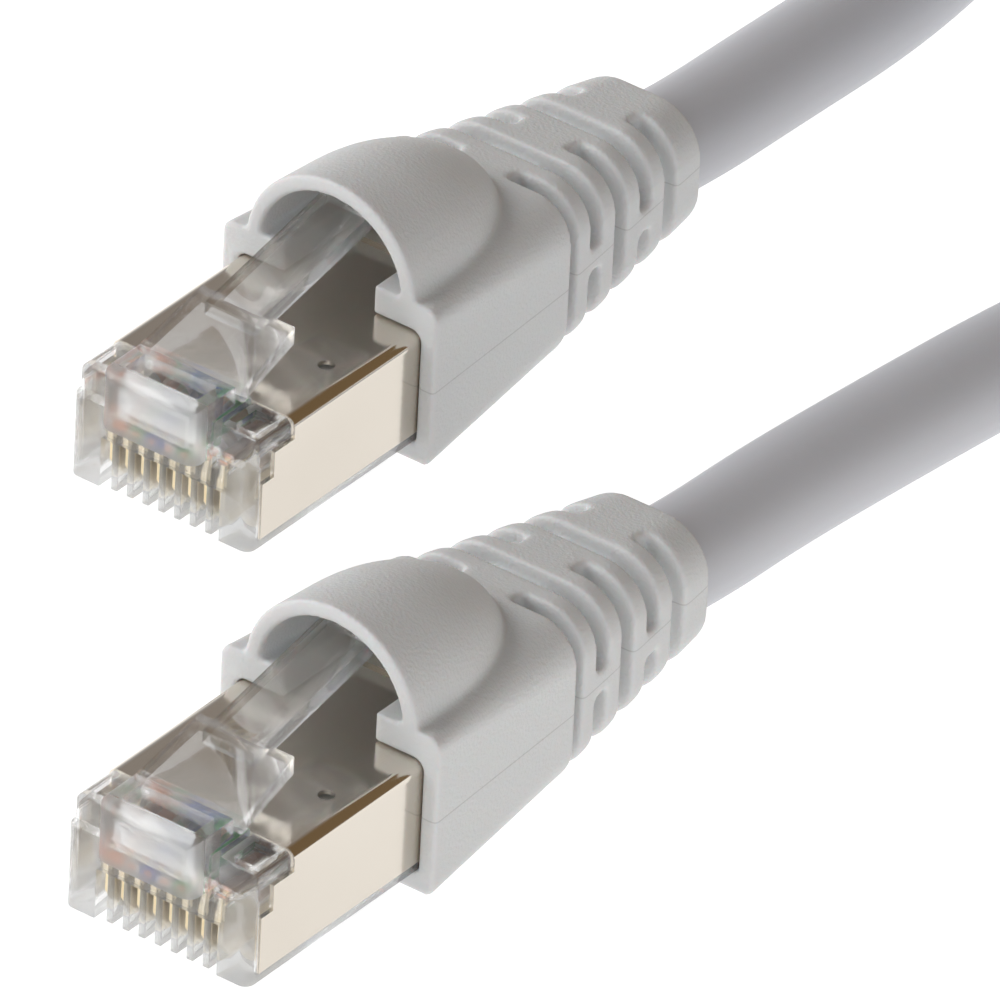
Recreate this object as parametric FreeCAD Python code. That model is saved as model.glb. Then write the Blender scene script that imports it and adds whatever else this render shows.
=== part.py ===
import FreeCAD, Part
import math
import os
from FreeCAD import Vector

# Shielded patch cable: two identical eight-way modular plugs with slip-on boots,
# joined by one round cable whose spare length is folded into a tied hank.
# Millimetres.  X across the plugs, Y along them (noses towards -Y), Z up.
# The origin is on the surface that the boots stand on, under the middle of the two plugs.
# Each plug is drawn with its nose tip at y = 0 and its contact face at z = 0, then placed.

# ---- where the two plugs lie ----
plug_spacing_x = 23.9
plug_stagger_y = 31.2

# ---- plug housing ----
plug_width = 11.68
plug_length = 21.5
side_height = 6.6
roof_gap = 0.3
base_height = side_height - roof_gap
comb_set_back = 1.35
ledge_height = side_height - 1.65
ledge_depth = 1.0
corner_round = 0.6
block_width = 6.2
block_top = side_height + 1.5
block_bottom = side_height - 1.9
block_rear = 3.35
block_round = 0.75
block_seat_top = side_height + 0.4
block_seat_rear = 4.5
pocket_width = 4.6
pocket_front = 1.15
pocket_rear = 2.75
pocket_floor = side_height - 1.3
shoulder_inner = 3.3
shoulder_front = 2.0
shoulder_rear = 4.7
shoulder_round = 0.5
window_depth = 0.45
window_border = 0.5

# ---- contacts ----
contact_count = 8
contact_pitch = 1.016
contact_thickness = 0.35
contact_recess = 0.55
contact_top = side_height - 3.05
contact_front = 2.0
contact_rear = 7.1
prong_count = 3
prong_height = 0.8
prong_width = 0.7
slot_width = 0.6
slot_mouth_height = side_height - 3.6
slot_gap = 0.2

# ---- conductors ----
wire_radius = 0.475
core_radius = 0.26
wire_height = side_height - 2.2
wire_front = 2.3
channel_gap = 0.03
bundle_pitch_x = 1.07
bundle_pitch_z = 1.1
split_start = 11.2
split_end = 13.2
gather_end = 18.6
wire_rear = plug_length + 6.1
core_bare = 0.2

# ---- load bar that spaces the conductors ----
bar_front = 8.4
bar_rear = 10.8
bar_floor = wire_height - 1.3
bar_height = 2.2
bar_gap = 0.1

# ---- cavity at the rear of the housing ----
cavity_front = 8.0
cavity_floor = 1.1
cavity_roof = side_height - 1.0
cavity_wall = 0.94
cavity_width = plug_width - 2 * cavity_wall

# ---- folded metal shield ----
shield_thickness = 0.25
shield_gap = 0.03
shield_front = 4.8
shield_rear = plug_length
shield_stand = 0.06
shield_skirt = 0.55
shield_round = 0.6
cheek_front = 2.2
cheek_top = side_height - 2.7
ear_front = 3.15
ear_bottom = side_height - 2.35
ear_top = side_height - 1.2
dimple_radius = 0.45
dimple_x = 4.0
dimple_y = 9.85
neck_width = 4.4
barrel_front = plug_length + 1.9
barrel_rear = plug_length + 7.1
barrel_gap = 0.03

# ---- latch ----
pivot_y = 3.86
pivot_z = side_height + 0.9
knuckle_radius = 0.45
latch_root_width = 6.6
wing_width = 6.0
wing_rear = 8.35
wing_top = side_height + 2.65
wing_thickness = 1.05
tab_width = 3.26
tab_front = 6.8
tab_front_top = wing_top + 0.35
tab_rear = 17.0
tab_rise = 2.1
tab_rear_top = tab_front_top + tab_rise
tab_thickness = 1.0

# ---- cable ----
cable_radius = 3.0
jacket_wall = 0.65
axis_height = 3.3
lean_start = plug_length + 10.0
exit_x = 0.3
jacket_front = plug_length + 0.9
foil_thickness = 0.06
foil_front = plug_length + 0.2
foil_gap = 0.04
braid_thickness = 0.18
braid_length = 4.6

# ---- boot ----
boot_front = 15.25
boot_shoulder = plug_length + 6.5
boot_rear = boot_shoulder + 13.8
boot_bottom = -1.2
exit_floor = 0.4
exit_height = boot_bottom + exit_floor + cable_radius
boot_top = side_height + 1.7
boot_round = 0.7
boot_gap = 0.05
boot_wall = 1.0
boot_half_width = plug_width / 2 + shield_stand + boot_gap + boot_wall
boot_rear_half_width = boot_half_width - 0.7
boot_rear_round = 2.5
boot_stop = plug_length + 0.5
bore_gap = 0.1
hood_centre = boot_top - 0.4
hood_radius = 5.45
hood_tilt = 5.5
hood_wall = 0.9
hood_straight = 3.0
hood_rear = boot_shoulder - 0.3
hood_slot_half = 2.9
hood_slot_rear = plug_length - 0.1
sleeve_half_width = boot_rear_half_width - 0.3
sleeve_top = boot_top
sleeve_round = 2.6
sleeve_under_round = 1.9
sleeve_end_wall = 0.95
sleeve_end_half = cable_radius + bore_gap + sleeve_end_wall
sleeve_end_top = exit_height + cable_radius + bore_gap + 1.2
sleeve_end_bottom = -1.15
sleeve_end_round = 2.9
groove_count = 5
groove_first = boot_shoulder - 0.1
groove_pitch = 2.55
groove_width = 1.15
groove_floor_wall = 0.8
groove_end_wall = 0.2
bridge_half = 1.8
side_bridge_half = 0.75
side_bridge_lift = 0.1
trim = 0.1

# ---- hank and ties ----
hank_x = 4.0
hank_near = 90.0
hank_far = 130.0
fold_inner = 18.0
strand_pitch = 6.2
hank_lift = 0.5
tie_thickness = 0.45
tie_width = 9.0
tie_gap = 0.05
tie_tail = 14.0

# ---- cable route: plug A's boot to the hank, and plug B's boot to the hank ----
route_a = [
    (-11.65, 36.5, 3.4),
    (-11.54, 40.2, 3.0),
    (-11.4, 47.0, 3.0),
    (-11.05, 57.7, 3.0),
    (-12.3, 68.4, 3.2),
]
route_b = [
    (12.25, 5.3, 3.4),
    (12.36, 9.0, 3.0),
    (12.5, 15.8, 3.0),
    (13.3, 25.0, 3.0),
    (14.3, 34.5, 3.0),
    (16.0, 44.0, 3.0),
    (19.6, 53.5, 3.0),
    (24.6, 63.5, 3.0),
    (28.8, 73.5, 3.9),
    (30.7, 83.0, 6.6),
]


def box(x0, x1, y0, y1, z0, z1):
    return Part.makeBox(x1 - x0, y1 - y0, z1 - z0, Vector(x0, y0, z0))


def middle_box(width, y0, y1, z0, z1):
    return box(-width / 2, width / 2, y0, y1, z0, z1)


def rod(start, end, radius):
    way = Vector(*end) - Vector(*start)
    return Part.makeCylinder(radius, way.Length, Vector(*start), way)


def joined(shapes):
    whole = shapes[0]
    for shape in shapes[1:]:
        whole = whole.fuse(shape)
    return whole.removeSplitter()


def bent_rod(points, radius):
    pieces = [rod(points[0], points[1], radius)]
    for here, after in zip(points[1:-1], points[2:]):
        pieces.append(Part.makeSphere(radius, Vector(*here)))
        pieces.append(rod(here, after, radius))
    return joined(pieces)


def side_plate(outline, half_width):
    """A (y, z) outline made into a plate from -half_width to half_width."""
    corners = [Vector(-half_width, y, z) for y, z in outline]
    face = Part.Face(Part.makePolygon(corners + corners[:1]))
    return face.extrude(Vector(2 * half_width, 0, 0))


def rounded_wire(y, half_width, z0, z1, top_round, bottom_round):
    """A rounded rectangle across the plug at y, with its own radii above and below."""
    edges = []
    arc = math.sqrt(0.5)
    corners = [
        (1, 1, half_width - top_round, z1 - top_round, top_round),
        (-1, 1, -half_width + top_round, z1 - top_round, top_round),
        (-1, -1, -half_width + bottom_round, z0 + bottom_round, bottom_round),
        (1, -1, half_width - bottom_round, z0 + bottom_round, bottom_round),
    ]
    ends = []
    for side, up, x, z, radius in corners:
        across = Vector(x + side * radius, y, z)
        above = Vector(x, y, z + up * radius)
        between = Vector(x + side * arc * radius, y, z + up * arc * radius)
        first, last = (across, above) if side == up else (above, across)
        ends.append((first, between, last))
    for index, (first, between, last) in enumerate(ends):
        edges.append(Part.Arc(first, between, last).toShape())
        edges.append(Part.makeLine(last, ends[(index + 1) % len(ends)][0]))
    return Part.Wire(edges)


def rounded_bar(y0, y1, half_width, z0, z1, top_round, bottom_round):
    face = Part.Face(rounded_wire(y0, half_width, z0, z1, top_round, bottom_round))
    return face.extrude(Vector(0, y1 - y0, 0))


def contact_places():
    first = -(contact_count - 1) / 2 * contact_pitch
    return [first + index * contact_pitch for index in range(contact_count)]


def make_housing():
    half = plug_width / 2
    base = box(-half, half, comb_set_back, plug_length, 0, ledge_height)
    upright = [e for e in base.Edges if abs(e.tangentAt(e.FirstParameter).z) > 0.9]
    fronts = [e for e in upright if e.CenterOfMass.y < comb_set_back + 0.1]
    base = base.makeFillet(corner_round, fronts)
    inside = half - shield_gap - shield_thickness
    spine = rounded_bar(shoulder_rear - 0.6, plug_length, inside, 0, base_height, shield_round, 0.05)
    block = middle_box(block_width, 0, block_rear, block_bottom, block_top)
    front_edges = [e for e in block.Edges if e.CenterOfMass.y < block_rear / 2]
    soft = [e for e in front_edges if e.CenterOfMass.z > block_bottom + 0.1 and e.CenterOfMass.y < 0.1]
    block = block.makeFillet(block_round, soft)
    seat = middle_box(latch_root_width, comb_set_back, block_seat_rear, ledge_height - 0.5, block_seat_top)
    pieces = [base, spine, block, seat]
    for side in (-1, 1):
        low = min(side * shoulder_inner, side * (half - 0.1))
        high = max(side * shoulder_inner, side * (half - 0.1))
        shoulder = box(low, high, shoulder_front, shoulder_rear, ledge_height - 0.5, side_height)
        outer = [
            e
            for e in shoulder.Edges
            if abs(e.CenterOfMass.x) > half - 0.2 and e.CenterOfMass.z > side_height - 0.1
        ]
        shoulder = shoulder.makeFillet(shoulder_round, outer)
        window = box(
            low + window_border,
            high - window_border,
            shoulder_front + window_border,
            shoulder_rear - window_border,
            side_height - window_depth,
            side_height + 1,
        )
        pieces.append(shoulder.cut(window))
    solid = joined(pieces)
    cheeks = side_band(cheek_front - 0.1, half - shield_thickness - shield_gap)
    solid = solid.cut(cheeks)
    cuts = [middle_box(pocket_width, pocket_front, pocket_rear, pocket_floor, block_top + 1)]
    span = contact_pitch * (contact_count - 1) / 2 + wire_radius + channel_gap
    channel_roof = wire_height + wire_radius + channel_gap
    cuts.append(box(-span, span, wire_front - 0.1, cavity_front + 0.2, contact_top + 0.35, channel_roof))
    cuts.append(middle_box(cavity_width, cavity_front, plug_length + 1, cavity_floor, cavity_roof))
    for x in contact_places():
        left = x - slot_width / 2
        right = x + slot_width / 2
        cuts.append(box(left, right, comb_set_back - 1, contact_front, -1, slot_mouth_height))
        cuts.append(box(left, right, contact_front - 0.1, contact_rear + slot_gap, -1, wire_height))
    reach = contact_pitch * contact_count / 2 - slot_width / 2
    cuts.append(box(-reach, reach, comb_set_back - 1, comb_set_back + slot_gap, -1, slot_mouth_height))
    return solid.cut(Part.makeCompound(cuts)).removeSplitter()


def side_band(front, inner):
    """The two flat recesses that the shield's cheeks lie in."""
    outer = plug_width / 2 + 1
    shapes = []
    for side in (-1, 1):
        low = min(side * inner, side * outer)
        high = max(side * inner, side * outer)
        shapes.append(box(low, high, front, plug_length + 1, shield_skirt - 0.1, ear_top + 0.1))
        shapes.append(box(low, high, shield_front - 0.1, plug_length + 1, shield_skirt - 0.1, block_top))
    return Part.makeCompound(shapes)


def make_contacts():
    """Eight gold blades, each with prongs that bite into its conductor."""
    blades = []
    step = (contact_rear - contact_front - prong_width) / (prong_count - 1)
    for x in contact_places():
        outline = [(contact_front, contact_recess + 0.9), (contact_front + 0.6, contact_recess)]
        outline += [(contact_rear, contact_recess), (contact_rear, contact_top), (contact_front, contact_top)]
        blade = side_plate(outline, contact_thickness / 2)
        for index in range(prong_count):
            foot = contact_front + index * step
            prong = [(foot, contact_top - 0.1), (foot + prong_width, contact_top - 0.1)]
            prong += [(foot + prong_width / 2, contact_top + prong_height)]
            blade = blade.fuse(side_plate(prong, contact_thickness / 2))
        blade = blade.removeSplitter()
        blade.translate(Vector(x, 0, 0))
        blades.append(blade)
    return Part.makeCompound(blades)


def wire_path(index, front, rear):
    """Side by side under the contacts, then two rows of four that enter the jacket."""
    x = contact_places()[index]
    column = (index // 2 - 1.5) * bundle_pitch_x
    row = axis_height + (0.5 if index % 2 else -0.5) * bundle_pitch_z
    return [
        (x, front, wire_height),
        (x, split_start, wire_height),
        (x, split_end, row),
        (column, gather_end, row),
        (column, rear, row),
    ]


def make_wire(index):
    cover = bent_rod(wire_path(index, wire_front, wire_rear), wire_radius)
    core = bent_rod(wire_path(index, wire_front - 1, wire_rear + 1), core_radius + 0.005)
    return cover.cut(core)


def make_cores():
    front = wire_front
    rear = wire_rear + core_bare
    return Part.makeCompound([bent_rod(wire_path(i, front, rear), core_radius) for i in range(contact_count)])


def make_load_bar():
    half = cavity_width / 2 - bar_gap
    bar = box(-half, half, bar_front, bar_rear, bar_floor, bar_floor + bar_height)
    holes = [
        rod((x, bar_front - 1, wire_height), (x, bar_rear + 1, wire_height), wire_radius + channel_gap / 2)
        for x in contact_places()
    ]
    return bar.cut(Part.makeCompound(holes))


def tube(y0, y1, outer, inner):
    ring = rod((0, y0, axis_height), (0, y1, axis_height), outer)
    return ring.cut(rod((0, y0 - 1, axis_height), (0, y1 + 1, axis_height), inner))


def barrel_inner():
    return cable_radius + braid_thickness + barrel_gap * 2


def make_shield():
    """One folded sheet: roof, two cheeks, and a neck that ends in the crimp barrel."""
    half = plug_width / 2 + shield_stand
    roof = side_height
    skin = rounded_bar(cheek_front, shield_rear, half, -1.0, roof, shield_round, 0.2)
    hollow_round = shield_round - shield_thickness
    inside = half - shield_thickness
    under_roof = roof - shield_thickness
    core = rounded_bar(cheek_front - 1, shield_rear + 1, inside, -2.0, under_roof, hollow_round, 0.1)
    sheet = skin.cut(core)
    cuts = [
        middle_box(plug_width + 2, cheek_front - 1, shield_rear + 1, -3, shield_skirt),
        middle_box(plug_width + 2, cheek_front - 1, ear_front, cheek_top, ear_bottom),
        middle_box(plug_width + 2, cheek_front - 1, ear_front, ear_bottom, ear_top),
        middle_box(plug_width + 2, cheek_front - 1, shield_front, ear_top, roof + 1),
        rod((dimple_x, dimple_y, roof - 1), (dimple_x, dimple_y, roof + 1), dimple_radius),
    ]
    sheet = sheet.cut(Part.makeCompound(cuts))
    inner = barrel_inner()
    barrel = tube(barrel_front, barrel_rear, inner + shield_thickness, inner)
    barrel_top = axis_height + inner + shield_thickness
    neck = middle_box(neck_width, shield_rear - 1, barrel_front + 1, under_roof, barrel_top)
    neck = neck.cut(rod((0, 0, axis_height), (0, barrel_rear, axis_height), inner))
    return joined([sheet, neck, barrel])


def make_latch():
    knuckle = rod(
        (-latch_root_width / 2, pivot_y, pivot_z), (latch_root_width / 2, pivot_y, pivot_z), knuckle_radius
    )
    slope = [
        (pivot_y, pivot_z - knuckle_radius),
        (wing_rear, wing_top - wing_thickness),
        (wing_rear, wing_top),
        (pivot_y, pivot_z + knuckle_radius),
    ]
    plate = side_plate(slope, latch_root_width / 2)
    plan = Part.makePolygon(
        [
            Vector(-latch_root_width / 2, pivot_y - 1, 0),
            Vector(latch_root_width / 2, pivot_y - 1, 0),
            Vector(wing_width / 2, wing_rear, 0),
            Vector(wing_width / 2, wing_rear + 1, 0),
            Vector(-wing_width / 2, wing_rear + 1, 0),
            Vector(-wing_width / 2, wing_rear, 0),
            Vector(-latch_root_width / 2, pivot_y - 1, 0),
        ]
    )
    plate = plate.common(Part.Face(plan).extrude(Vector(0, 0, 2 * wing_top)))
    under = tab_front_top - tab_thickness
    tab = [
        (tab_front, under),
        (tab_rear, under + tab_rise),
        (tab_rear, tab_rear_top),
        (tab_front, tab_front_top),
    ]
    return joined([knuckle, plate, side_plate(tab, tab_width / 2)])


def hood_form(radius, front, straight_end, rear):
    """A half-round tunnel whose rear closes as a quarter ellipse, turned about its own axis."""
    length = rear - straight_end
    centre = Vector(0, straight_end, hood_centre)
    rim = Part.makeLine(Vector(0, front, hood_centre), Vector(radius, front, hood_centre))
    wall = Part.makeLine(Vector(radius, front, hood_centre), Vector(radius, straight_end, hood_centre))
    if length > radius:
        oval = Part.Ellipse(centre + Vector(0, length, 0), centre + Vector(radius, 0, 0), centre)
    else:
        oval = Part.Ellipse(centre + Vector(radius, 0, 0), centre + Vector(0, length, 0), centre)
    start = oval.parameter(centre + Vector(radius, 0, 0))
    end = oval.parameter(centre + Vector(0, length, 0))
    low, high = sorted((start, end))
    if high - low > math.pi:
        low, high = high, low + 2 * math.pi
    cap = Part.ArcOfEllipse(oval, low, high).toShape()
    axis = Part.makeLine(Vector(0, rear, hood_centre), Vector(0, front, hood_centre))
    profile = Part.Face(Part.Wire(Part.__sortEdges__([rim, wall, cap, axis])))
    return profile.revolve(Vector(0, 0, hood_centre), Vector(0, 1, 0), 360)


def sunk(shape):
    """Tipped about the boot's front, so that the hood runs down towards the cable."""
    pivot = Vector(0, boot_front, hood_centre)
    return shape.rotated(pivot, Vector(1, 0, 0), -hood_tilt)


def lean(y):
    """How far the cable's line has come from the plug's axis at y: across, and its height."""
    share = max(0, (y - lean_start) / (boot_rear - lean_start))
    return share * exit_x, axis_height + share * (exit_height - axis_height)


def between(first, last, share):
    return first + (last - first) * share


def sleeve_wire(y):
    """The sleeve's outer form across the plug at y: a rounded square that narrows and sinks."""
    share = (y - boot_shoulder) / (boot_rear - boot_shoulder)
    half = between(sleeve_half_width, sleeve_end_half, share)
    top = between(sleeve_top, sleeve_end_top, share)
    bottom = between(boot_bottom - trim, sleeve_end_bottom, share)
    soft = between(sleeve_round, sleeve_end_round, share)
    under = between(sleeve_under_round, sleeve_end_round, share)
    wire = rounded_wire(y, half, bottom, top, soft, under)
    wire.translate(Vector(lean(y)[0], 0, 0))
    return wire


def core_wire(y):
    """What the grooves leave standing round the cable at y."""
    share = (y - boot_shoulder) / (boot_rear - boot_shoulder)
    half = cable_radius + bore_gap + between(groove_floor_wall, groove_end_wall, share)
    across, height = lean(y)
    soft = 0.75 * half
    wire = rounded_wire(y, half, height - half, height + half, soft, soft)
    wire.translate(Vector(across, 0, 0))
    return wire


def groove(index):
    """One flexing slot: split at top and bottom on even ones, split at the sides on odd ones."""
    y0 = groove_first + index * groove_pitch
    y1 = y0 + groove_width
    reach = 2 * boot_half_width
    across, height = lean(y0)
    ring = box(-reach, reach, y0, y1, -reach, 2 * reach)
    ring = ring.cut(Part.makeLoft([core_wire(y0 - 1), core_wire(y1 + 1)], True, True))
    if index % 2:
        middle = height + side_bridge_lift
        keep = box(-reach, reach, y0, y1, middle - side_bridge_half, middle + side_bridge_half)
    else:
        keep = box(across - bridge_half, across + bridge_half, y0, y1, -reach, 2 * reach)
    return ring.cut(keep)


def boot_path(rear):
    """The cable's line from the crimp to the boot's rear, and on past it."""
    past = lean(rear)
    return [(0, boot_stop - 1, axis_height), (0, lean_start, axis_height), (past[0], rear, past[1])]


def make_boot():
    deep = boot_bottom - trim
    front = rounded_wire(boot_front, boot_half_width, deep, boot_top, boot_round, boot_round)
    rear = rounded_wire(
        boot_shoulder, boot_rear_half_width, deep, boot_top + 0.1, boot_rear_round, boot_rear_round
    )
    body = Part.makeLoft([front, rear], True, True)
    straight_end = boot_front + hood_straight
    hood = sunk(hood_form(hood_radius, boot_front - 0.6, straight_end, hood_rear))
    above = middle_box(4 * boot_half_width, boot_front, boot_rear, boot_top - 0.6, boot_top + 12)
    hood = hood.common(above)
    sleeve = Part.makeLoft([sleeve_wire(boot_shoulder - 0.5), sleeve_wire(boot_rear)], True, True)
    solid = body.fuse(hood).fuse(sleeve)
    hollow = sunk(hood_form(hood_radius - hood_wall, boot_front - 1, straight_end, hood_rear - hood_wall))
    hollow = hollow.common(middle_box(4 * boot_half_width, 0, boot_rear, boot_top, boot_top + 12))
    cavity_half = plug_width / 2 + shield_stand + boot_gap
    cavity = rounded_bar(
        boot_front - 1, boot_stop, cavity_half, -boot_gap, side_height + boot_gap, shield_round, 0.2
    )
    slot = middle_box(2 * hood_slot_half, boot_front - 1, hood_slot_rear, side_height - 1, boot_top + 0.5)
    crimp = barrel_inner() + shield_thickness + bore_gap
    barrel_room = rod((0, boot_stop - 1, axis_height), (0, barrel_rear + 0.3, axis_height), crimp)
    neck_room = middle_box(
        neck_width + 0.3, boot_stop - 1, barrel_front + 1.3, axis_height, axis_height + crimp
    )
    bore = swept(boot_path(boot_rear + 1), cable_radius + bore_gap)
    under = middle_box(4 * boot_half_width, 0, boot_rear + 1, boot_bottom - 4, boot_bottom)
    grooves = [groove(index) for index in range(groove_count)]
    for cut in [hollow, cavity, slot, barrel_room, neck_room, bore, under] + grooves:
        solid = solid.cut(cut)
    return solid.removeSplitter()


def make_jacket_end():
    """The cable's jacket from the crimp to the boot's rear, leaning as the sleeve does."""
    path = boot_path(boot_rear)
    path[0] = (0, jacket_front, axis_height)
    return swept(path, cable_radius).cut(swept(path, cable_radius - jacket_wall))


def racetrack(radius, z0, z1):
    """A long ring's outline, filled: two half rounds joined by straight sides."""
    near_left = Vector(hank_x - radius, hank_near, z0)
    near_right = Vector(hank_x + radius, hank_near, z0)
    far_left = Vector(hank_x - radius, hank_far, z0)
    far_right = Vector(hank_x + radius, hank_far, z0)
    edges = [
        Part.makeLine(near_left, far_left),
        Part.Arc(far_left, Vector(hank_x, hank_far + radius, z0), far_right).toShape(),
        Part.makeLine(far_right, near_right),
        Part.Arc(near_right, Vector(hank_x, hank_near - radius, z0), near_left).toShape(),
    ]
    return Part.Face(Part.Wire(edges)).extrude(Vector(0, 0, z1 - z0))


def hank_size():
    inner = fold_inner - cable_radius
    outer = fold_inner + strand_pitch + cable_radius
    top = hank_lift + 2 * cable_radius + strand_pitch
    return inner, outer, top


def make_hank():
    inner, outer, top = hank_size()
    return racetrack(outer, hank_lift, top).cut(racetrack(inner, 0, top + 1))


def make_tie(side):
    """A flat strap wrapped round one side of the hank, with its tail pressed down on top."""
    inner, outer, top = hank_size()
    low = hank_x + min(side * inner, side * outer) - tie_gap
    high = hank_x + max(side * inner, side * outer) + tie_gap
    middle = (hank_near + hank_far) / 2
    y0 = middle - tie_width / 2
    y1 = middle + tie_width / 2
    strap = box(low - tie_thickness, high + tie_thickness, y0, y1, 0, top + tie_gap + tie_thickness)
    strap = strap.cut(box(low, high, y0 - 1, y1 + 1, tie_thickness, top + tie_gap))
    start = low - tie_thickness if side < 0 else high + tie_thickness
    end = start + tie_tail if side < 0 else start - tie_tail
    roof = top + tie_gap + tie_thickness
    tail = box(min(start, end), max(start, end), y0 + 0.4, y1 - 0.4, roof - 0.05, roof + tie_thickness)
    return strap.fuse(tail).removeSplitter()


def smooth_path(points):
    """Straight runs joined by tangent arcs, each arc as large as its two runs allow."""
    places = [Vector(*p) for p in points]
    here = places[0]
    edges = []
    radii = []
    for before, corner, after in zip(places, places[1:], places[2:]):
        way_in = (corner - before).normalize()
        way_out = (after - corner).normalize()
        turn = way_in.getAngle(way_out)
        reach = 0.45 * min((corner - before).Length, (after - corner).Length)
        radius = reach / math.tan(turn / 2)
        radii.append(round(radius, 1))
        start = corner - way_in * reach
        end = corner + way_out * reach
        inward = (way_out - way_in).normalize()
        middle = corner + inward * (radius / math.cos(turn / 2) - radius)
        edges.append(Part.LineSegment(here, start).toShape())
        edges.append(Part.Arc(start, middle, end).toShape())
        here = end
    edges.append(Part.LineSegment(here, places[-1]).toShape())
    return Part.Wire(edges), radii


def swept(points, radius):
    path = smooth_path(points)[0]
    circle = Part.Circle(Vector(*points[0]), Vector(*points[1]) - Vector(*points[0]), radius)
    return path.makePipeShell([Part.Wire(circle.toShape())], True, True, 2)


def cable_tube(points, name):
    solid = swept(points, cable_radius)
    path, radii = smooth_path(points)
    expected = math.pi * cable_radius**2 * path.Length
    print(name, "length", round(path.Length, 1), "arc radii", radii)
    print(name, "volume over section x length", round(solid.Volume / expected, 4))
    return solid


def save(shape, name):
    if not shape.isValid() or not shape.Solids:
        raise RuntimeError(name + " is not a valid solid")
    shape.exportStep("parts/" + name + ".step")
    print(name, "solids", len(shape.Solids), "volume", round(shape.Volume, 2))


def plug_parts():
    foil_outer = cable_radius - jacket_wall - foil_gap
    braid_inner = cable_radius + barrel_gap
    parts = {
        "boot": make_boot(),
        "housing": make_housing(),
        "latch": make_latch(),
        "shield": make_shield(),
        "contacts": make_contacts(),
        "load_bar": make_load_bar(),
        "wire_cores": make_cores(),
        "foil_wrap": tube(foil_front, wire_rear, foil_outer, foil_outer - foil_thickness),
        "braid": tube(barrel_rear - braid_length, barrel_rear, braid_inner + braid_thickness, braid_inner),
        "jacket_end": make_jacket_end(),
    }
    for index in range(contact_count):
        parts["wire_" + str(index + 1)] = make_wire(index)
    return parts


def main():
    os.makedirs("parts", exist_ok=True)
    floor_gap = -boot_bottom
    nose_y = -(plug_stagger_y + boot_rear) / 2
    ends = {
        "a": Vector(-plug_spacing_x / 2, nose_y + plug_stagger_y, floor_gap),
        "b": Vector(plug_spacing_x / 2, nose_y, floor_gap),
    }
    for name, shape in plug_parts().items():
        for end, place in ends.items():
            save(shape.translated(place), name + "_" + end)
    save(cable_tube(route_a, "cable_a"), "cable_a")
    save(cable_tube(route_b, "cable_b"), "cable_b")
    save(make_hank(), "cable_hank")
    save(make_tie(-1), "tie_left")
    save(make_tie(1), "tie_right")


main()
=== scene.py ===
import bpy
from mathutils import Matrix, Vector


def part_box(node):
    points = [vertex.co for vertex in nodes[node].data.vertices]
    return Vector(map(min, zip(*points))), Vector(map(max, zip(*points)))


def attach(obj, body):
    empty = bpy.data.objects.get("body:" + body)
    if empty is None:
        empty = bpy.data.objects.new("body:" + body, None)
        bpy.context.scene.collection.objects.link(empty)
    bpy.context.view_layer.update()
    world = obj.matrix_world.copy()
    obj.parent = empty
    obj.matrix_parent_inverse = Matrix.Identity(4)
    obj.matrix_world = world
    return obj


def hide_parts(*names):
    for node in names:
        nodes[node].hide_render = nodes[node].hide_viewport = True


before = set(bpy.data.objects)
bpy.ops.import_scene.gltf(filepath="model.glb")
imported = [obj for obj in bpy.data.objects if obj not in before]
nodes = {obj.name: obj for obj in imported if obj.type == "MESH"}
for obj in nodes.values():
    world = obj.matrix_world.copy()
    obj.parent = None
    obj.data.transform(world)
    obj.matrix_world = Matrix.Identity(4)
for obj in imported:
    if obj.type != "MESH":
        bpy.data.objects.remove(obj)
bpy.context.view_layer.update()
import math

import bmesh
import bpy
from mathutils import Matrix, Vector

mm = 0.001
ends = ("a", "b")
scene = bpy.context.scene
mainBody = "plug_pair"


# camera: a long lens, a little above the plugs, slightly tilted
camera = {"azimuth": 35.51, "elevation": 33.45, "roll": -2.97, "distance": 1.5,
          "focalLength": 1052.5, "sensor": 36, "aim": (0.56, 8.55, 1.2)}


def setCamera():
    turn = math.radians(camera["azimuth"])
    tilt = math.radians(camera["elevation"])
    roll = math.radians(camera["roll"])
    vertical = Vector((0, 0, 1))
    ahead = Vector((-math.sin(turn), math.cos(turn), 0))
    right = Vector((math.cos(turn), math.sin(turn), 0))
    upward = ahead * math.sin(tilt) + vertical * math.cos(tilt)
    depth = ahead * math.cos(tilt) - vertical * math.sin(tilt)
    rolledRight = right * math.cos(roll) - upward * math.sin(roll)
    rolledUp = right * math.sin(roll) + upward * math.cos(roll)
    place = Vector(camera["aim"]) * mm - depth * camera["distance"]
    lens = bpy.data.cameras.new("camera")
    lens.sensor_width = camera["sensor"]
    lens.lens = camera["focalLength"]
    lens.clip_start = 0.01
    lens.clip_end = 20
    viewer = bpy.data.objects.new("camera", lens)
    scene.collection.objects.link(viewer)
    turned = Matrix((rolledRight, rolledUp, -depth)).transposed()
    viewer.matrix_world = Matrix.Translation(place) @ turned.to_4x4()
    scene.camera = viewer
    print("camera set")


setCamera()


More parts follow.
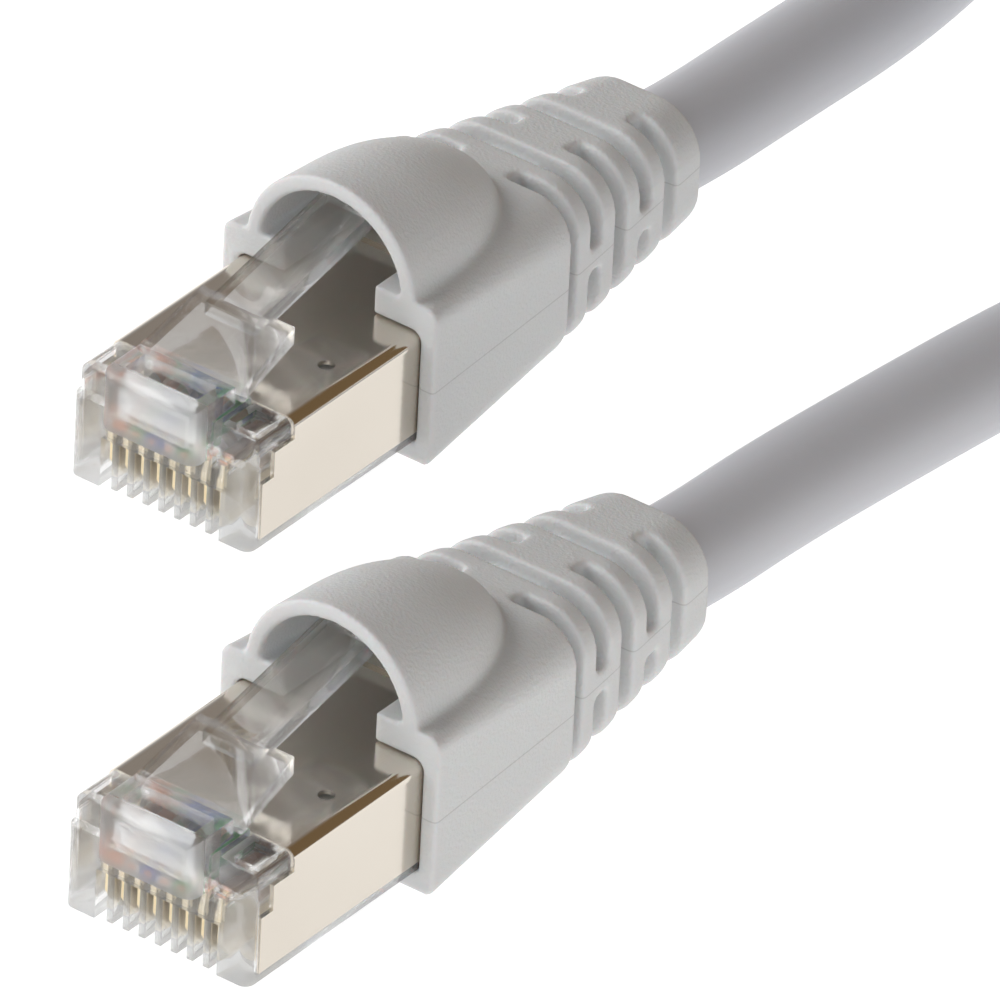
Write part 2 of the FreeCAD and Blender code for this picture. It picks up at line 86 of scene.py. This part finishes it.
# shader maths as Python expressions
class Wire:
    def __init__(self, tree, socket):
        self.tree = tree
        self.socket = socket

    def mathNode(self, operation, *values):
        node = self.tree.nodes.new("ShaderNodeMath")
        node.operation = operation
        for slot, value in enumerate(values):
            join(self.tree, node.inputs[slot], value)
        return Wire(self.tree, node.outputs[0])

    def __add__(self, other):
        return self.mathNode("ADD", self, other)

    def __radd__(self, other):
        return self.mathNode("ADD", other, self)

    def __sub__(self, other):
        return self.mathNode("SUBTRACT", self, other)

    def __rsub__(self, other):
        return self.mathNode("SUBTRACT", other, self)

    def __mul__(self, other):
        return self.mathNode("MULTIPLY", self, other)

    def __rmul__(self, other):
        return self.mathNode("MULTIPLY", other, self)

    def __abs__(self):
        return self.mathNode("ABSOLUTE", self)

    def __gt__(self, other):
        return self.mathNode("GREATER_THAN", self, other)

    def __lt__(self, other):
        return self.mathNode("LESS_THAN", self, other)

    def wave(self):
        return self.mathNode("SINE", self)


def join(tree, socket, value):
    if isinstance(value, Wire):
        tree.links.new(value.socket, socket)
    else:
        socket.default_value = value


class Finish:
    def __init__(self, name, owners=bpy.data.materials, shader="Principled BSDF"):
        self.material = owners.new(name)
        self.material.use_nodes = True
        self.tree = self.material.node_tree
        self.shader = self.tree.nodes[shader]

    def make(self, kind, settings=None, inputs=None, output=0):
        node = self.tree.nodes.new(kind)
        for key, value in (settings or {}).items():
            if key == "stops":
                while len(node.color_ramp.elements) < len(value):
                    node.color_ramp.elements.new(0.5)
                for stop, (position, color) in zip(node.color_ramp.elements, value):
                    stop.position = position
                    stop.color = color
            else:
                setattr(node, key, value)
        for key, value in (inputs or {}).items():
            join(self.tree, node.inputs[key], value)
        return Wire(self.tree, node.outputs[output])

    def place(self):
        return self.make("ShaderNodeTexCoord", output=3)

    def ramp(self, value, stops):
        return self.make("ShaderNodeValToRGB", {"stops": stops}, {0: value})

    def axes(self, where=None):
        split = self.tree.nodes.new("ShaderNodeSeparateXYZ")
        join(self.tree, split.inputs[0], where or self.place())
        return [Wire(self.tree, split.outputs[index]) for index in range(3)]

    def noise(self, scale, detail=3.0, where=None):
        return self.make("ShaderNodeTexNoise", None,
                         {"Vector": where or self.place(), "Scale": scale, "Detail": detail})

    def stretch(self, x, y, z):
        return self.make("ShaderNodeMapping", None, {"Vector": self.place(), "Scale": (x, y, z)})

    def mix(self, factor, first, second):
        return self.make("ShaderNodeMix", {"data_type": "RGBA"}, {0: factor, 6: first, 7: second}, 2)

    def bump(self, height, distance, strength):
        return self.make("ShaderNodeBump", None,
                         {"Height": height, "Distance": distance, "Strength": strength})

    def put(self, values):
        for key, value in values.items():
            join(self.tree, self.shader.inputs[key], value)
        return self.material


# cable: one round jacket from plug A's boot, folded into the hank, back to plug B's boot
cable = {
    "diameter": 6.0,
    "routeA": [(-11.65, 36.5, 3.4), (-11.54, 40.2, 3.0), (-11.4, 47.0, 3.0), (-11.05, 57.7, 3.0),
               (-12.3, 68.4, 3.2), (-16.4, 78.0, 3.3), (-19.3, 87.0, 3.4)],
    "routeB": [(12.25, 5.3, 3.4), (12.36, 9.0, 3.0), (12.5, 15.8, 3.0), (13.3, 25.0, 3.0),
               (14.3, 34.5, 3.0), (16.0, 44.0, 3.0), (19.6, 53.5, 3.0), (24.6, 63.5, 3.0),
               (28.8, 73.5, 3.9), (30.7, 83.0, 6.6)],
    "hankX": 4.0, "near": 90.0, "far": 130.0,
    "inner": 18.0, "outer": 24.2, "low": 3.5, "high": 9.7,
    "foldStep": 30, "length": 0.93,
}
# each near fold's radius and height, every 30 degrees from the right side round to the left
nearFolds = [
    ([23.8, 23.5, 23.0, 22.0, 20.2, 18.4], [3.5, 3.5, 3.5, 3.5, 3.5, 3.5]),
    ([17.9, 17.7, 17.7, 17.8, 18.0, 18.0], [3.6, 4.4, 6.0, 8.0, 9.3, 9.7]),
    ([18.6, 20.6, 22.8, 24.0, 24.2, 24.2], [9.7, 9.7, 9.7, 9.7, 9.7, 9.7]),
]


def hankPoints():
    middle, near, far = cable["hankX"], cable["near"], cable["far"]
    strands = [(cable["outer"], cable["low"]), (cable["inner"], cable["low"]),
               (cable["inner"], cable["high"]), (cable["outer"], cable["high"])]
    along = [near + share * (far - near) for share in (0.15, 0.5, 0.85)]
    step = cable["foldStep"]
    widen = 1 / math.cos(math.radians(step / 2))  # puts the curve, not its points, on the radius
    points = []
    for turn, (radius, height) in enumerate(strands):
        points += [(middle - radius, y, height) for y in along]
        for angle in range(180 - step // 2, 0, -step):
            reach = radius * widen
            points.append((middle + reach * math.cos(math.radians(angle)),
                           far + reach * math.sin(math.radians(angle)), height))
        points += [(middle + radius, y, height) for y in reversed(along)]
        if turn < len(nearFolds):
            for angle, wide, tall in zip(range(-step // 2, -180, -step), *nearFolds[turn]):
                reach = wide * widen
                points.append((middle + reach * math.cos(math.radians(angle)),
                               near + reach * math.sin(math.radians(angle)), tall))
    return points


def makeCable():
    points = cable["routeA"] + hankPoints() + cable["routeB"][::-1]
    curve = bpy.data.curves.new("cable_jacket", "CURVE")
    curve.dimensions = "3D"
    spline = curve.splines.new("NURBS")
    spline.points.add(len(points) - 1)
    for spot, point in zip(spline.points, points):
        spot.co = (*[value * mm for value in point], 1)
        spot.radius = cable["diameter"] / 2 * mm  # so that the curve's own box is the jacket's
    spline.order_u = 3
    spline.use_endpoint_u = True
    spline.resolution_u = 10
    curve.bevel_depth = 1.0
    curve.bevel_resolution = 8
    curve.use_fill_caps = True
    jacket = bpy.data.objects.new("cable_jacket", curve)
    scene.collection.objects.link(jacket)
    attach(jacket, mainBody)
    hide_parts("cable_a", "cable_b", "cable_hank")
    jacket.data.materials.append(jacketFinish())
    print("cable laid")


def jacketFinish():
    finish = Finish("cable_jacket")
    cloud = finish.noise(60, 4)
    fine = finish.noise(2600, 3)
    drawn = finish.noise(900, 2)
    tint = finish.mix(cloud, (0.48, 0.485, 0.515, 1), (0.55, 0.555, 0.585, 1))
    height = fine * 0.5 + drawn
    return finish.put({"Base Color": tint, "Roughness": 0.42 + 0.12 * cloud,
                       "Normal": finish.bump(height, 0.00002, 0.5),
                       "Subsurface Weight": 0.05, "Subsurface Scale": 0.001})


makeCable()


# pieces made from the frame's own forms
def copied(node, name):
    mesh = nodes[node].data.copy()
    mesh.materials.clear()
    piece = bpy.data.objects.new(name, mesh)
    scene.collection.objects.link(piece)
    return piece


def applied(piece):
    bpy.context.view_layer.update()
    solid = bpy.data.meshes.new_from_object(piece.evaluated_get(bpy.context.evaluated_depsgraph_get()))
    piece.modifiers.clear()
    piece.data = solid


def softened(piece, rounds, group=""):
    soft = piece.modifiers.new("soft", "SMOOTH")
    soft.factor = 0.5
    soft.iterations = rounds
    soft.vertex_group = group


def moulded(node, name, voxel, rounds, sleeveFrom, sleeveRounds):
    piece = copied(node, name)
    piece.data.transform(Matrix.Scale(1 / mm, 4))
    grid = piece.modifiers.new("grid", "REMESH")
    grid.mode = "VOXEL"
    grid.voxel_size = voxel
    applied(piece)
    sleeve = piece.vertex_groups.new(name="sleeve")
    for point in piece.data.vertices:
        share = min(1, max(0, point.co.y - sleeveFrom))
        if share > 0:
            sleeve.add([point.index], share, "REPLACE")
    softened(piece, rounds)
    softened(piece, sleeveRounds, "sleeve")
    applied(piece)
    piece.data.transform(Matrix.Scale(mm, 4))
    piece.vertex_groups.clear()
    for face in piece.data.polygons:
        face.use_smooth = True
    return piece


def eased(node, name, width):
    piece = copied(node, name)
    shape = bmesh.new()
    shape.from_mesh(piece.data)
    bmesh.ops.remove_doubles(shape, verts=shape.verts, dist=1e-6)
    bmesh.ops.dissolve_limit(shape, angle_limit=math.radians(1), verts=shape.verts, edges=shape.edges)
    shape.to_mesh(piece.data)
    shape.free()
    edge = piece.modifiers.new("edge", "BEVEL")
    edge.width = width * mm
    edge.segments = 2
    edge.limit_method = "ANGLE"
    edge.angle_limit = math.radians(40)
    edge.use_clamp_overlap = True
    applied(piece)
    for face in piece.data.polygons:
        face.use_smooth = True
    piece.data.set_sharp_from_angle(angle=math.radians(35))
    return piece


def finished(piece, node, body, material):
    piece.data.materials.clear()
    piece.data.materials.append(material)
    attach(piece, body)
    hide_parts(node)


# boots: soft grey mouldings with a fine spark-eroded grain and a parting line
boot = {"voxel": 0.15, "rounds": 3, "sleeveLength": 14.4, "sleeveRounds": 16,
        "partingHeight": 4.55, "partingWidth": 0.08}


def bootFinish():
    finish = Finish("boot_moulding")
    z = finish.axes()[2]
    cloud = finish.noise(150, 3)
    grain = finish.noise(4800, 2)
    tint = finish.mix(cloud, (0.61, 0.62, 0.62, 1), (0.65, 0.66, 0.66, 1))
    seam = abs(z - boot["partingHeight"] * mm) < boot["partingWidth"] / 2 * mm
    height = grain + seam * -2.0
    return finish.put({"Base Color": finish.mix(seam * 0.35, tint, (0.30, 0.30, 0.29, 1)),
                       "Roughness": 0.5 + 0.15 * cloud,
                       "Normal": finish.bump(height, 0.00007, 0.6), "Subsurface Weight": 0.15,
                       "Subsurface Scale": 0.0012, "IOR": 1.46})


def makeBoots():
    material = bootFinish()
    for end in ends:
        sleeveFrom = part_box("boot_" + end)[1].y / mm - boot["sleeveLength"]
        piece = moulded("boot_" + end, "boot_moulding_" + end, boot["voxel"], boot["rounds"],
                        sleeveFrom, boot["sleeveRounds"])
        finished(piece, "boot_" + end, mainBody, material)
    print("boots moulded")


makeBoots()


# clear plastic: housings with a frosted nose, and the latches
clearParts = {"frostLength": 1.0, "frostFrom": 5.6, "housingEdge": 0.1, "latchEdge": 0.12}


def clearFinish(name, noseY, haze, solidity):
    finish = Finish(name)
    y, z = finish.axes()[1:]
    ripple = finish.noise(500, 2)
    specks = finish.noise(4000, 2)
    rough = 0.03 + 0.03 * specks
    if noseY is not None:
        frost = (y < (noseY + clearParts["frostLength"]) * mm) * (z > clearParts["frostFrom"] * mm)
        rough = rough + frost * 0.24
    return finish.put({"Base Color": (0.96, 0.97, 0.975, 1), "Roughness": rough,
                       "Transmission Weight": 1 - haze, "IOR": 1.49, "Alpha": solidity,
                       "Normal": finish.bump(ripple, 0.00004, 0.25)})


def makeClearParts():
    latchMaterial = clearFinish("latch_clear", None, 0.0, 0.55)
    for end in ends:
        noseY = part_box("housing_" + end)[0].y / mm
        housing = eased("housing_" + end, "plug_housing_" + end, clearParts["housingEdge"])
        finished(housing, "housing_" + end, mainBody,
                 clearFinish("housing_clear_" + end, noseY, 0.08, 0.65))
        latch = eased("latch_" + end, "latch_lever_" + end, clearParts["latchEdge"])
        finished(latch, "latch_" + end, "latch_" + end, latchMaterial)
    print("clear parts eased")


makeClearParts()


# metal, wires and the other parts keep their forms and get their finishes
def metalFinish(name, dark, light, rough, grain, bumpDepth):
    finish = Finish(name)
    cloud = finish.noise(grain, 4)
    scratch = finish.noise(1.0, 3, finish.stretch(2500, 120, 2500))
    return finish.put({"Base Color": finish.mix(cloud, dark, light), "Metallic": 1.0,
                       "Roughness": rough + 0.08 * scratch,
                       "Normal": finish.bump(cloud + scratch * 0.3, bumpDepth, 0.4)})


def insulationFinish(name, color, stripe):
    finish = Finish(name)
    cloud = finish.noise(400, 3)
    darker = tuple(value * 0.85 for value in color[:3]) + (1,)
    tint = finish.mix(cloud, darker, color)
    if stripe:
        x, y, z = finish.axes()
        band = (y * 1600 + x * 900 + z * 900).wave() > 0.55
        tint = finish.mix(band, tint, stripe)
    return finish.put({"Base Color": tint, "Roughness": 0.38 + 0.1 * cloud,
                       "Normal": finish.bump(cloud, 0.00002, 0.3)})


orange = (0.85, 0.25, 0.06, 1)
green = (0.05, 0.42, 0.12, 1)
blue = (0.05, 0.16, 0.62, 1)
brown = (0.24, 0.11, 0.06, 1)
white = (0.86, 0.85, 0.82, 1)
wireColors = [("white_orange", white, orange), ("orange", orange, None), ("white_green", white, green),
              ("blue", blue, None), ("white_blue", white, blue), ("green", green, None),
              ("white_brown", white, brown), ("brown", brown, None)]


def dress(node, material):
    piece = nodes[node]
    piece.data.materials.clear()
    piece.data.materials.append(material)


def moldedFinish(name, dark, light, rough):
    finish = Finish(name)
    cloud = finish.noise(300, 3)
    return finish.put({"Base Color": finish.mix(cloud, dark, light), "Roughness": rough + 0.1 * cloud,
                       "Normal": finish.bump(finish.noise(3000, 2), 0.00002, 0.4)})


def strapFinish():
    finish = Finish("tie_weave")
    x, y, z = finish.axes()
    weave = (y * 9000).wave() * ((x + z) * 9000).wave()
    fuzz = finish.noise(5000, 3)
    tint = finish.mix(fuzz, (0.012, 0.012, 0.014, 1), (0.05, 0.05, 0.055, 1))
    return finish.put({"Base Color": tint, "Roughness": 0.85,
                       "Normal": finish.bump(weave + fuzz, 0.00015, 0.7), "Sheen Weight": 0.4})


def dressFrameParts():
    nickel = metalFinish("nickel_plate", (0.68, 0.62, 0.54, 1), (0.80, 0.75, 0.67, 1), 0.10, 45, 0.00003)
    gold = metalFinish("gold_plate", (0.88, 0.72, 0.45, 1), (0.96, 0.84, 0.60, 1), 0.25, 900, 0.00001)
    copper = metalFinish("bare_copper", (0.70, 0.32, 0.20, 1), (0.86, 0.46, 0.32, 1), 0.25, 900, 0.00001)
    foil = metalFinish("foil_wrap", (0.70, 0.71, 0.72, 1), (0.86, 0.87, 0.88, 1), 0.22, 700, 0.00006)
    braid = metalFinish("tinned_braid", (0.45, 0.45, 0.45, 1), (0.78, 0.78, 0.78, 1), 0.3, 3500, 0.0001)
    milky = moldedFinish("load_bar_natural", (0.78, 0.78, 0.76, 1), (0.86, 0.86, 0.84, 1), 0.35)
    inner = moldedFinish("jacket_end_grey", (0.36, 0.37, 0.39, 1), (0.42, 0.43, 0.46, 1), 0.4)
    covers = [insulationFinish("insulation_" + name, color, stripe) for name, color, stripe in wireColors]
    for end in ends:
        dress("shield_" + end, nickel)
        dress("contacts_" + end, gold)
        dress("wire_cores_" + end, copper)
        dress("foil_wrap_" + end, foil)
        dress("braid_" + end, braid)
        dress("load_bar_" + end, milky)
        dress("jacket_end_" + end, inner)
        for index, cover in enumerate(covers):
            dress("wire_" + str(index + 1) + "_" + end, cover)
    weave = strapFinish()
    dress("tie_left", weave)
    dress("tie_right", weave)
    print("frame parts finished")


dressFrameParts()


# pale floor and soft light, brightest low down and dimmer overhead
studio = {"floor": 2.0, "floorGlow": 0.93, "horizon": 1.0, "overhead": (0.36, 0.36, 0.37),
          "shade": (0.19, 0.13, 0.07), "shadeToward": (0.32, 0.78, 0.45)}


def makeFloor():
    mesh = bpy.data.meshes.new("floor")
    half = studio["floor"]
    corners = [(-half, -half, 0), (half, -half, 0), (half, half, 0), (-half, half, 0)]
    mesh.from_pydata(corners, [], [(0, 1, 2, 3)])
    floor = bpy.data.objects.new("floor", mesh)
    scene.collection.objects.link(floor)
    finish = Finish("floor_white")
    mesh.materials.append(finish.put({"Base Color": (0.3, 0.3, 0.3, 1), "Roughness": 0.6,
                                      "Emission Color": (1, 1, 1, 1),
                                      "Emission Strength": studio["floorGlow"]}))


# bright round the horizon, dim overhead, and darkest behind the plugs to the right
def makeSky():
    sky = Finish("studio", bpy.data.worlds, "Background")
    direction = sky.make("ShaderNodeTexCoord")
    x, y, z = sky.axes(direction)
    low = studio["horizon"]
    dome = sky.ramp(z, [(0.08, (low, low, low, 1)), (0.38, (*studio["overhead"], 1))])
    east, north, up = studio["shadeToward"]
    nearness = sky.ramp(x * east + y * north + z * up, [(0.5, (0, 0, 0, 1)), (0.8, (1, 1, 1, 1))])
    sky.put({"Color": sky.mix(nearness, dome, (*studio["shade"], 1))})
    scene.world = sky.material


def addLight(name, place, size, power):
    lamp = bpy.data.lights.new(name, "AREA")
    lamp.energy = power
    lamp.size = size
    light = bpy.data.objects.new(name, lamp)
    scene.collection.objects.link(light)
    light.location = place
    light.rotation_euler = (-Vector(place)).to_track_quat("-Z", "Y").to_euler()


makeFloor()
makeSky()
addLight("key", (-0.9, -0.45, 0.65), 0.8, 10)
addLight("fill", (0.9, -0.7, 0.12), 0.6, 2.5)
scene.view_settings.view_transform = "Standard"
print("studio lit")

bpy.context.view_layer.update()
